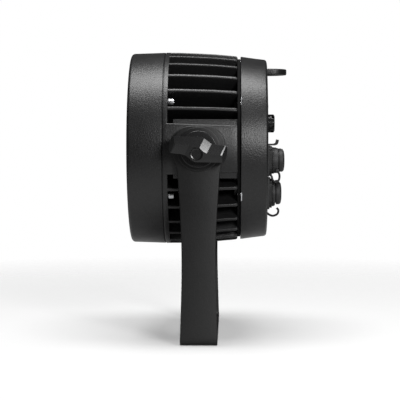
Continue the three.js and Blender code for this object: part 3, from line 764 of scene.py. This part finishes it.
def optics():
    low, high = span("front_glass", "y")
    pane = turned([(0, low), (GLASS_RADIUS, low, 0.5), (GLASS_RADIUS, high, 0.5), (0, high)], 160, 3)
    place(pane, "front_pane", "head", ["front_glass"], "clear_glass", glass)
    low, high = span("glass_gasket", "y")
    band = turned([
        (GASKET_INNER, low, 0.4), (GLASS_RADIUS, low, 0.4), (GLASS_RADIUS, high, 0.4),
        (GASKET_INNER, high, 0.4),
    ], 160, 3)
    place(band, "gasket_band", "head", ["glass_gasket"], *RUBBER)
    low, high = span("led_board", "y")
    board_front, base_front = high - BOARD_THICKNESS, high - EMITTER_HEIGHT
    board = rod(BOARD_RADIUS, board_front, high, segments=128, edge=0.2)
    place(board, "led_board_disc", "head", ["led_board"], *BOARD)
    for i, (x, z) in enumerate(EMITTERS, 1):
        base = slab(rounded_rectangle(EMITTER_SIZE, EMITTER_SIZE, 0.6), base_front, board_front, 0.1, "y")
        place(moved(base, x, 0, z), f"emitter_{i}_base", "head", [], *BOARD)
        dome = turned([
            (0, low), (1.6, low + 0.1), (2.6, low + 0.4), (3.0, base_front), (0, base_front),
        ], 32, 3)
        place(moved(dome, x, 0, z), f"emitter_{i}_dome", "head", [], "clear_plastic", phosphor)


# ---- Safety loop, vent, display and buttons ----

EYE_HALF, EYE_BASE, EYE_CORNER = 8, 3, 1.5
LOOP_THICKNESS, LOOP_THINNING, PEG_RADIUS = 6.4, 0.1, 2.4
VENT_THREAD_RADIUS = 5.7
VENT_SLOTS = range(48, 408, 60)
KEY_RADIUS, KEY_FLANGE_RADIUS, KEY_FLANGE_REAR = 4.5, 5.6, 60.9


def safety_loop():
    low, high = box_mm("safety_loop")
    half = high[0]
    end = high[1] - half
    outer = [(-half, SEAT), (half, SEAT), *arc((0, end), half, 0, 180, 48)]
    base, side = SEAT + EYE_BASE, SEAT + EYE_BASE + EYE_CORNER
    inner = EYE_HALF - EYE_CORNER
    eye = [(-EYE_HALF, end), (-EYE_HALF, side), (-inner, base), (inner, base), (EYE_HALF, side),
           *arc((0, end), EYE_HALF, 0, 180, 32)]
    plate = slab(outer, -LOOP_THICKNESS / 2, LOOP_THICKNESS / 2, 1.3, "z", 6)
    plate = cut(plate, slab(eye, -5, 5))
    for vertex in plate.data.vertices:
        vertex.co.z *= 1 - LOOP_THINNING * max(0.0, vertex.co.y - SEAT) / (high[1] - SEAT)
    pegs = [rod(PEG_RADIUS, low[1], SEAT + 1, at=(x, 0), segments=32) for x in PEG_PLACES]
    body = moved(joined(plate, gathered(pegs)), z=height_of("safety_loop"))
    return place(body, "safety_eye", "head", ["safety_loop"], *CASTING)


def vent_plug():
    """A round pressure vent, with small openings in its side and a driver slot across its face."""
    low, high = span("vent_plug", "y")
    radius = span("vent_plug", "x")[1]
    body = turned([
        (0, high), (radius - 1.4, high, 0.6), (radius, high - 1.1, 0.3), (radius, SEAT + 1, 0.2),
        (radius - 0.5, SEAT + 1), (radius - 0.5, SEAT, 0.2), (VENT_THREAD_RADIUS, SEAT),
        (VENT_THREAD_RADIUS, low, 0.4), (0, low),
    ], 96, 4)
    slots = []
    for angle in VENT_SLOTS:
        slot = slab(rounded_rectangle(2.4, 3.8, 0.4), radius - 2.6, 12, along="x")
        slots.append(spun(moved(slot, y=high - 1.9), -angle))
    driver_slot = moved(slab(rounded_rectangle(1.8, 9, 0.4), -1.2, 3, along="y"), y=high)
    body = moved(cut(body, gathered(slots), driver_slot), z=height_of("vent_plug"))
    return place(body, "vent", "head", ["vent_plug"], "black_plastic", gloss_plastic)


def display_window():
    low, high = box_mm("display_window")
    width, tall = high[0] - low[0], high[2] - low[2]
    pane = slab(rounded_rectangle(width, tall, 2), low[1], high[1], 0.3, "y")
    pane = moved(pane, z=height_of("display_window"))
    place(pane, "display_pane", "head", ["display_window"], "clear_plastic", acrylic)


def button(index):
    name = f"button_{index}"
    low, high = span(name, "y")
    body = turned([
        (0, high), (1.2, high), (3.4, high - 0.15, 0.6), (KEY_RADIUS, high - 0.3, 0.5),
        (KEY_RADIUS, KEY_FLANGE_REAR, 0.1), (KEY_FLANGE_RADIUS, KEY_FLANGE_REAR, 0.3),
        (KEY_FLANGE_RADIUS, low, 0.3), (0, low),
    ], 64, 4)
    body = moved(body, middle(name, "x"), 0, height_of(name))
    return place(body, f"key_{index}", f"{name}_pressing", [name], *RUBBER)


# ---- Connectors, with their caps and straps ----

PANEL_END = SEAT + 2.2
BARREL_FRONT, BARREL_RADIUS = 50, 10.1
BUSH_FRONT, BUSH_RADIUS = 66, 11.3
RIM_RADIUS, RIM_DEPTH = 9.4, 3
COLLAR_REAR = 70.1
HOOK_HALF = 3.2
HOOK_PATH = [(66.3, 15.5), (73.0, 15.5, 2.5), (75.6, 16.4, 2.0), (76.6, 20.4)]
POWER_PINS = [(3.1, 90), (3.1, 210), (3.1, 330)]
DATA_PINS = [(4.6, angle) for angle in (90, 18, -54, -126, 162)]

CAP_SKIRT_RADIUS, CAP_BORE_RADIUS = 13.0, 11.6
CAP_DOME, CAP_GROOVE, CAP_GROOVE_FLOOR = 7.1, 6.4, 9.6
CAP_RIBS = 36
TAB_HALF = 2.6

STRAP_WIDE, STRAP_THIN = 1.15, 1.05
STRAP_ROUTES = {
    "power": [(9.8, 75.4, -9.9), (9.8, 77.4, -13.5), (9.8, 77, -18.5), (9.8, 74, -21), (9.8, 71, -19),
              (9.8, 69.9, -15.5), (9.8, 68.4, -13.6)],
    "dmx": [(0, 75.2, -14.6), (0, 76.8, -17), (0, 75.8, -20.6), (0, 71.6, -22.4), (0, 68, -21.4),
            (0, 65.9, -19.6)],
}


def ribbed(outline, depth, pitch):
    """The outline with small square ribs all along it."""
    loop = [Vector(p) for p in outline] + [Vector(outline[0])]
    total = sum((b - a).length for a, b in zip(loop, loop[1:]))
    count = 2 * round(total / pitch)

    def walked(distance):
        """The point at a distance along the outline, and the direction inward."""
        distance %= total
        for a, b in zip(loop, loop[1:]):
            length = (b - a).length
            if distance <= length and length > 0:
                return a + (b - a) * distance / length, Vector((a.y - b.y, b.x - a.x)).normalized()
            distance -= length
        return loop[-1], Vector((0, 0))

    points = []
    for i in range(count):
        for share in (0.08, 0.92):
            point, inward = walked((i + share) * total / count)
            points.append(tuple(point + inward * (depth if i % 2 else 0.0)))
    return points


def ribbon(path, thickness):
    """The outline of a bent strip that follows a path."""
    left, right = [], []
    for i, point in enumerate(path):
        ahead = Vector(path[min(i + 1, len(path) - 1)]) - Vector(path[max(i - 1, 0)])
        across = Vector((-ahead.y, ahead.x)).normalized() * (thickness / 2)
        left.append(tuple(Vector(point) + across))
        right.append(tuple(Vector(point) - across))
    return right + left[::-1]


def power_fittings(end):
    """The latch hook of a power connector, its foot, and the core between its contacts."""
    path = filleted(HOOK_PATH, closed=False, steps=6)
    hook = slab(ribbon(path, 1.4), -HOOK_HALF, HOOK_HALF, 0.2, "x", 2)
    foot = block((-HOOK_HALF, SEAT, 13), (HOOK_HALF, PANEL_END, 15.8), 0.2)
    core = rod(5.6, end - 3.5, end - 0.4, edge=0.3)
    return [hook, foot, core]


def connector_body(name):
    x, height = middle(name, "x"), height_of(name)
    end = span(name, "y")[1]
    power = name.startswith("power")
    plate = slab(rounded_rectangle(26, 31, 2), SEAT, PANEL_END, 0.4, "y")
    outline = ribbed(rounded_rectangle(25.2, 28.4, 7), 0.7, 1.8)
    collar = slab(outline, SEAT + 1.5, COLLAR_REAR, 0, "y")
    barrel = turned([
        (0, BARREL_FRONT), (BARREL_RADIUS, BARREL_FRONT, 0.5), (BARREL_RADIUS, BUSH_FRONT, 0),
        (BUSH_RADIUS, BUSH_FRONT), (BUSH_RADIUS, end, 0.6), (RIM_RADIUS, end, 0.4),
        (RIM_RADIUS, end - RIM_DEPTH), (0, end - RIM_DEPTH),
    ], 96, 4)
    body = joined(plate, collar, barrel, *(power_fittings(end) if power else []))
    spots = [on_circle(radius, angle) for radius, angle in (POWER_PINS if power else DATA_PINS)]
    if power:
        slots = []
        for a, b in spots:
            slot = slab(rounded_rectangle(1.1, 2.6, 0.3), end - 2.6, end + 1, along="y")
            slots.append(moved(slot, a, 0, b))
        body = cut(body, gathered(slots))
    place(moved(body, x, 0, height), f"{name}_socket", "head", [name], "black_plastic", black_plastic)
    for i, (a, b) in enumerate(spots, 1):
        if power:
            contact = slab(rounded_rectangle(0.7, 2.2, 0.2), end - 2.6, end - 1.0, 0.1, "y")
        else:
            contact = rod(0.8, end - 3.2, end - 0.8, edge=0.35, segments=24)
        contact = moved(contact, x + a, 0, height + b)
        place(contact, f"{name}_contact_{i}", "head", [], "bright_steel", brass)


def cap(name):
    """A rubber cap: a stepped dome, a groove, a skirt with a ribbed edge, and a tab on top."""
    node = f"{name}_cap"
    front, top = span(node, "y")
    roof = top - CAP_DOME
    groove = top - CAP_GROOVE
    ledge, rib = groove + 0.8, front + 1.9
    shell = turned([
        (0, top), (6.0, top - 0.15, 10), (9.6, top - 0.8, 1.5), (11.0, top - 2.1, 0.8), (11.1, ledge, 0.5),
        (CAP_GROOVE_FLOOR, ledge, 0.1), (CAP_GROOVE_FLOOR, groove, 0.1), (12.3, groove, 0.7),
        (12.5, rib, 0.2), (CAP_SKIRT_RADIUS, rib, 0.3), (CAP_SKIRT_RADIUS, front, 0.4),
        (CAP_BORE_RADIUS, front, 0.2), (CAP_BORE_RADIUS, roof, 0.3), (0, roof),
    ], 128, 5)
    notches = []
    for i in range(CAP_RIBS):
        notch = moved(slab(rounded_rectangle(3.4, 0.9, 0.3), 12.45, 14, along="x"), y=front + 0.6)
        notches.append(spun(notch, i * 360 / CAP_RIBS))
    shell = cut(shell, gathered(notches))
    tab = block((-TAB_HALF, top - 4.6, 9.2), (TAB_HALF, top - 1.7, 11.4), 0.5, "x")
    body = joined(shell, tab)
    if name == "power_in":
        body = joined(body, rod(1.9, 7.0, 10.6, "x", 32, 0.5, at=(roof - 0.3, -9.9)))
    body = moved(body, middle(node, "x"), 0, height_of(node))
    return place(body, f"{name}_cover_cap", f"{node}_lifting", [node], "black_rubber", cap_rubber)


def swept(points, wide, thin, across, segments=12):
    """A strap with a flattened section, whose width runs along one direction."""
    rings = []
    for i, point in enumerate(points):
        ahead = points[min(i + 1, len(points) - 1)] - points[max(i - 1, 0)]
        normal = across.cross(ahead).normalized()
        ring = []
        for k in range(segments):
            angle = 2 * math.pi * k / segments
            ring.append(point + across * (wide * math.cos(angle)) + normal * (thin * math.sin(angle)))
        rings.append(ring)
    return stacked(rings)


def strap(name):
    """A cap's tether. One in the far column loops toward the middle, and the others hang."""
    node = f"{name}_strap"
    x, height = middle(f"{name}_cap", "x"), height_of(f"{name}_cap")
    if x > 0:
        route = STRAP_ROUTES[name.split("_")[0]]
        places = [(x + a, y, height + z) for a, y, z in route]
        across = Vector((1, 0, 0))
    else:
        route = STRAP_ROUTES["dmx"]
        places = [(x - z, y, height + a) for a, y, z in route]
        across = Vector((0, 0, 1))
    body = swept(smooth_through(places, 6), STRAP_WIDE, STRAP_THIN, across)
    body = place(body, f"{name}_tether", None, [node], *RUBBER)
    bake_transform(body)


# ---- Tilt lock: friction disc, washer, knob and stud on each side ----

DISC_RADIUS, WASHER_RADIUS, SLEEVE_HOLE_RADIUS = 19, 20.5, 4.4
HUB_RADIUS, HUB_END = 17, 109.2
KNOB_BORE_RADIUS, KNOB_BORE_DEPTH = 4.3, 14
KNOB_HALF_OUTLINE = [
    (22.3, -12.1), *arc((0, 0), 26.7, -27.5, 5, 10), (25.6, 3.3), (15.9, 4.2), (11.4, 5.6), (5.6, 10.2),
    (2.5, 11.6),
]
WING_START, WING_END = 108.2, 124.5
ROOF_TILT = 16
END_TILT = 48
EDGE_TILT = 17
WING_BEVEL = 0.35
# The round recess in the wing, as (radius, x), and where it lies.
BOWL = [(4.2, 121.2), (5.2, 121.5), (5.8, 122.2), (6.1, 123.2), (6.3, 126)]
BOWL_CENTRE = (-1.7, -4.5)
THREAD_RADIUS, THREAD_ROOT, THREAD_PITCH = 3.9, 3.45, 1.0


def under(point, tilt, direction, depth=60.0, reach=80):
    """The space below a sloping plane that passes through a point of the knob's flat end."""
    across = Vector((0, *direction)).normalized()
    normal = Vector((1, 0, 0)) * math.cos(math.radians(tilt)) + across * math.sin(math.radians(tilt))
    side = normal.cross(across).normalized()
    along = side.cross(normal).normalized()
    origin = Vector((WING_END, *point))
    signs = ((-reach, -reach), (reach, -reach), (reach, reach), (-reach, reach))
    corners = [origin + along * a + side * b for a, b in signs]
    return stacked([[c - normal * depth for c in corners], corners])


def half_roof():
    """The wing's roof: planes that fall away from an S-shaped spine, on one side of it."""
    first = under((1.4, 1.5), ROOF_TILT, (0.10, 0.995))
    second = under((7.3, -4.7), ROOF_TILT, (0.724, 0.689))
    third = under((7.3, -4.7), ROOF_TILT, (0.14, 0.990))
    inner = combined(first, second, "INTERSECT")
    return joined(inner, third)


def knob_wing():
    outline = KNOB_HALF_OUTLINE + [(-a, -b) for a, b in KNOB_HALF_OUTLINE]
    wing = slab(outline, WING_START, WING_END, 0, "x")
    for degrees in (0, 180):
        end = under((21.0, -6.7), END_TILT, (0.986, -0.165))
        edge = under((19.9, -6.7), EDGE_TILT, (0.806, 0.592))
        for limit in (half_roof(), end, edge):
            wing = combined(wing, spun(limit, degrees, "X"), "INTERSECT")
    bowl = [[(level, a, b) for a, b in circle(radius, BOWL_CENTRE, 64)] for radius, level in BOWL]
    return cut(wing, stacked(bowl))


def bevelled(obj, width, limit=25):
    modifier = obj.modifiers.new("bevel", "BEVEL")
    modifier.width = width
    modifier.segments = 10
    modifier.limit_method = "ANGLE"
    modifier.angle_limit = math.radians(limit)
    modifier.use_clamp_overlap = True
    return applied(obj)


def ring_along_x(corners, segments=96, steps=4):
    """A body turned about the X axis from [radius, x] corners."""
    return spun(turned(corners, segments, steps), -90, "Z")


def washer_shape(radius, low, high, edges):
    hole = SLEEVE_HOLE_RADIUS
    corners = [(hole, low), (radius, low), (radius, high), (hole, high)]
    return ring_along_x([(*corner, edge) for corner, edge in zip(corners, edges)])


def wing_knob():
    start = span("knob_right", "x")[0]
    bore = KNOB_BORE_RADIUS
    hub = ring_along_x([(bore, start, 0.3), (HUB_RADIUS, start, 0.3), (HUB_RADIUS, HUB_END, 0.6),
                        (bore, HUB_END)], 120, 10)
    body = joined(hub, bevelled(knob_wing(), WING_BEVEL))
    return cut(body, rod(bore, start - 1, start + KNOB_BORE_DEPTH, "x", 64))


def knob_stud():
    """A stud with plain grooves in place of its thread."""
    low, high = span("knob_stud_right", "x")
    shank = [(0, low), (3.3, low), (THREAD_RADIUS, low + 0.8)]
    level = low + 1.6
    while level < high - 1.2:
        shank += [(THREAD_RADIUS, level), (THREAD_ROOT, level + THREAD_PITCH / 2)]
        level += THREAD_PITCH
    shank += [(THREAD_RADIUS, high - 0.8), (3.2, high), (0, high)]
    return ring_along_x(shank, 48)


def tilt_lock(side):
    """Drawn for the right side. The left side is the same, turned by half a turn."""
    turn = 0 if side == "right" else 180
    body = f"knob_{side}_turning"
    disc = washer_shape(DISC_RADIUS, *span("friction_disc_right", "x"), (0.1, 0.2, 0.2, 0.1))
    washer = washer_shape(WASHER_RADIUS, *span("knob_washer_right", "x"), (0.1, 0.3, 0.5, 0.2))
    disc, washer, knob, stud = [spun(obj, turn, "Z") for obj in (disc, washer, wing_knob(), knob_stud())]
    place(disc, f"friction_{side}", "head", [f"friction_disc_{side}"], "fibre", fibre)
    place(washer, f"washer_{side}", "yoke", [f"knob_washer_{side}"], "black_steel", black_steel)
    place(knob, f"wing_knob_{side}", body, [f"knob_{side}"], "knob_plastic", knob_plastic, sharp=9.6)
    place(stud, f"stud_{side}", body, [f"knob_stud_{side}"], *BRIGHT)


# ---- Yoke: one flat strap bent into a U ----

YOKE_THICKNESS = 4
YOKE_INNER = box_mm("yoke_bracket")[1][0] - YOKE_THICKNESS
YOKE_ROUND = 1.0
BEND_RADIUS = 2.5
YOKE_EDGE = [(0, 17.65), (25, 16.9), (62, 15.95), (95, 16.1), (124, 17.2), (160, 19.7)]
HEAD_HALF, HEAD_CORNER, HEAD_TOP = 24.8, 18.5, 21.8
SHOULDER, FLARE = 12, 0.7
ARM_HOLE = 4.6
CLAMP_RADIUS, CLAMP_CHAMFER, CLAMP_REACH = 6.5, 0.6, 0.4


def arm_half_outline():
    """Height and half width of one arm, from the crossbar's underside to the top of the head."""
    lower = [(p.x, p.y) for p in smooth_through(YOKE_EDGE, 6)]
    corner = HEAD_HALF - HEAD_CORNER
    corner_height = PIVOT + HEAD_TOP - HEAD_CORNER
    start, end = Vector(YOKE_EDGE[-1]), Vector((corner_height, HEAD_HALF))
    one, two = start + Vector((SHOULDER, FLARE)), end - Vector((SHOULDER, 0))
    neck = []
    for i in range(1, 12):
        t = i / 12
        point = start * (1 - t) ** 3 + one * 3 * t * (1 - t) ** 2 + two * 3 * t * t * (1 - t) + end * t ** 3
        neck.append((point.x, point.y))
    head = [(corner_height + HEAD_CORNER * math.sin(a), corner + HEAD_CORNER * math.cos(a))
            for a in [math.radians(90 * i / 16) for i in range(17)]]
    return lower + neck + head


def cone(lower, upper):
    """A cone along Z between two (radius, z) ends."""
    return stacked([[(a, b, z) for a, b in circle(radius, steps=64)] for radius, z in (lower, upper)])


def yoke_bracket():
    """The strap is drawn flat, with rounded edges, and bent: one coordinate runs along it."""
    reach = YOKE_THICKNESS / 2
    neutral = BEND_RADIUS + reach
    straight = YOKE_INNER + reach - neutral
    bend = neutral * math.pi / 2
    foot = reach + neutral
    base = YOKE_EDGE[0][1]
    half = [(i * straight / 12, base) for i in range(12)]
    half += [(straight + bend * i / 10, base) for i in range(10)]
    for height, width in arm_half_outline():
        if height > 6:
            half.append((straight + bend + max(height, foot) - foot, width))
    upper = [(-s, w) for s, w in reversed(half[1:])] + half
    count = len(upper)
    outline = [(s, -w) for s, w in upper] + [(s, w) for s, w in reversed(upper)]

    def bent(s, y, t):
        """t runs from the inner face, at minus half the thickness, to the outer face."""
        side = 1 if s >= 0 else -1
        s = abs(s)
        if s <= straight:
            x, z = s, reach - t
        elif s <= straight + bend:
            angle = (s - straight) / neutral
            x = straight + (neutral + t) * math.sin(angle)
            z = foot - (neutral + t) * math.cos(angle)
        else:
            x, z = YOKE_INNER + reach + t, foot + (s - straight - bend)
        return side * x, y, z

    bm = bmesh.new()
    loops = []
    for depth, t in rounded_levels(-reach, reach, YOKE_ROUND):
        loops.append([bm.verts.new(bent(s, y, t)) for s, y in inset(outline, depth)])
    total = len(outline)
    for one, other in zip(loops, loops[1:]):
        bridge(bm, one, other)
    for loop in (loops[0], loops[-1]):
        for i in range(count - 1):
            bm.faces.new((loop[i], loop[i + 1], loop[total - 2 - i], loop[total - 1 - i]))
    wide = CLAMP_RADIUS + CLAMP_CHAMFER + CLAMP_REACH
    rims = [
        cone((wide, -CLAMP_REACH), (CLAMP_RADIUS, CLAMP_CHAMFER)),
        cone((CLAMP_RADIUS, YOKE_THICKNESS - CLAMP_CHAMFER), (wide, YOKE_THICKNESS + CLAMP_REACH)),
    ]
    pivots = moved(rod(ARM_HOLE, -120, 120, "x", 48), z=PIVOT)
    body = cut(solid(bm), rod(CLAMP_RADIUS, -5, 10, "z", 64), gathered(rims), pivots)
    return place(body, "yoke_strap", "yoke", ["yoke_bracket"], "black_powder_coat_steel", steel_coat, lift=0)


# ---- Studio ----


def studio_floor():
    """A white floor that fades into the room away from the lamp."""
    bm = bmesh.new()
    bmesh.ops.create_circle(bm, cap_ends=True, radius=6, segments=96)
    floor = solid(bm)
    floor.name = "studio_floor"
    material, tree, shader = new_material("studio_floor")
    set_inputs(shader, {"Base Color": (0.92, 0.92, 0.92, 1), "Roughness": 0.9})
    coordinates = tree.nodes.new("ShaderNodeTexCoord")
    length = tree.nodes.new("ShaderNodeVectorMath")
    length.operation = "LENGTH"
    tree.links.new(coordinates.outputs["Object"], length.inputs[0])
    fade = add_range(tree, length.outputs["Value"], 0.62, 0.0, 0.28, 0.85)
    tree.links.new(fade, shader.inputs["Alpha"])
    floor.data.materials.append(material)
    floor.location.z = -0.0002


def softbox(name, position, target, width, height, power):
    data = bpy.data.lights.new(name, "AREA")
    data.shape = "RECTANGLE"
    data.size, data.size_y = width, height
    data.energy = power
    aimed(added(name, data), position, target)


def studio_world(pale, dim):
    """The room looks pale, and it lights the object less than it shows."""
    world = bpy.data.worlds.new("studio")
    world.use_nodes = True
    bpy.context.scene.world = world
    tree = world.node_tree
    background = tree.nodes["Background"]
    path = tree.nodes.new("ShaderNodeLightPath")
    strength = add_range(tree, path.outputs["Is Camera Ray"], dim, pale, 0.0, 1.0)
    tree.links.new(strength, background.inputs["Strength"])
    background.inputs["Color"].default_value = (1, 1, 1, 1)


studio_floor()
studio_world(1.0, 0.07)
softbox("top_softbox", (0.12, 0.0, 1.35), (0, 0, 0.15), 0.9, 0.5, 18)
softbox("rear_right_softbox", (1.6, 0.75, 0.65), (0, 0, 0.18), 0.45, 0.4, 18)
bpy.context.scene.view_settings.view_transform = "Standard"

# ---- Assembly ----

front_bezel()
heatsink_housing()
shade_band_at_joint()
rear_cover()
yoke_bracket()
for number, degrees in enumerate(SCREW_ANGLES, 1):
    bezel_screw(number, degrees)
    cover_stud(number, degrees)
seals()
optics()
safety_loop()
vent_plug()
display_window()
for number in range(1, 5):
    button(number)
for connector_name in ("power_in", "power_out", "dmx_in", "dmx_out"):
    connector_body(connector_name)
    cap(connector_name)
    strap(connector_name)
tilt_lock("right")
tilt_lock("left")

# The CAD nodes that are shown as they are.
NODE_MATERIALS = {
    "lens_plate": black_plastic, "power_supply": black_plastic, "driver_board": board_green,
    "control_board": board_green, **{f"lens_{number}": acrylic for number in range(1, 8)},
}
for name, material in NODE_MATERIALS.items():
    for material_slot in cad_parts[name].material_slots:
        material_slot.link = "OBJECT"
        material_slot.material = material
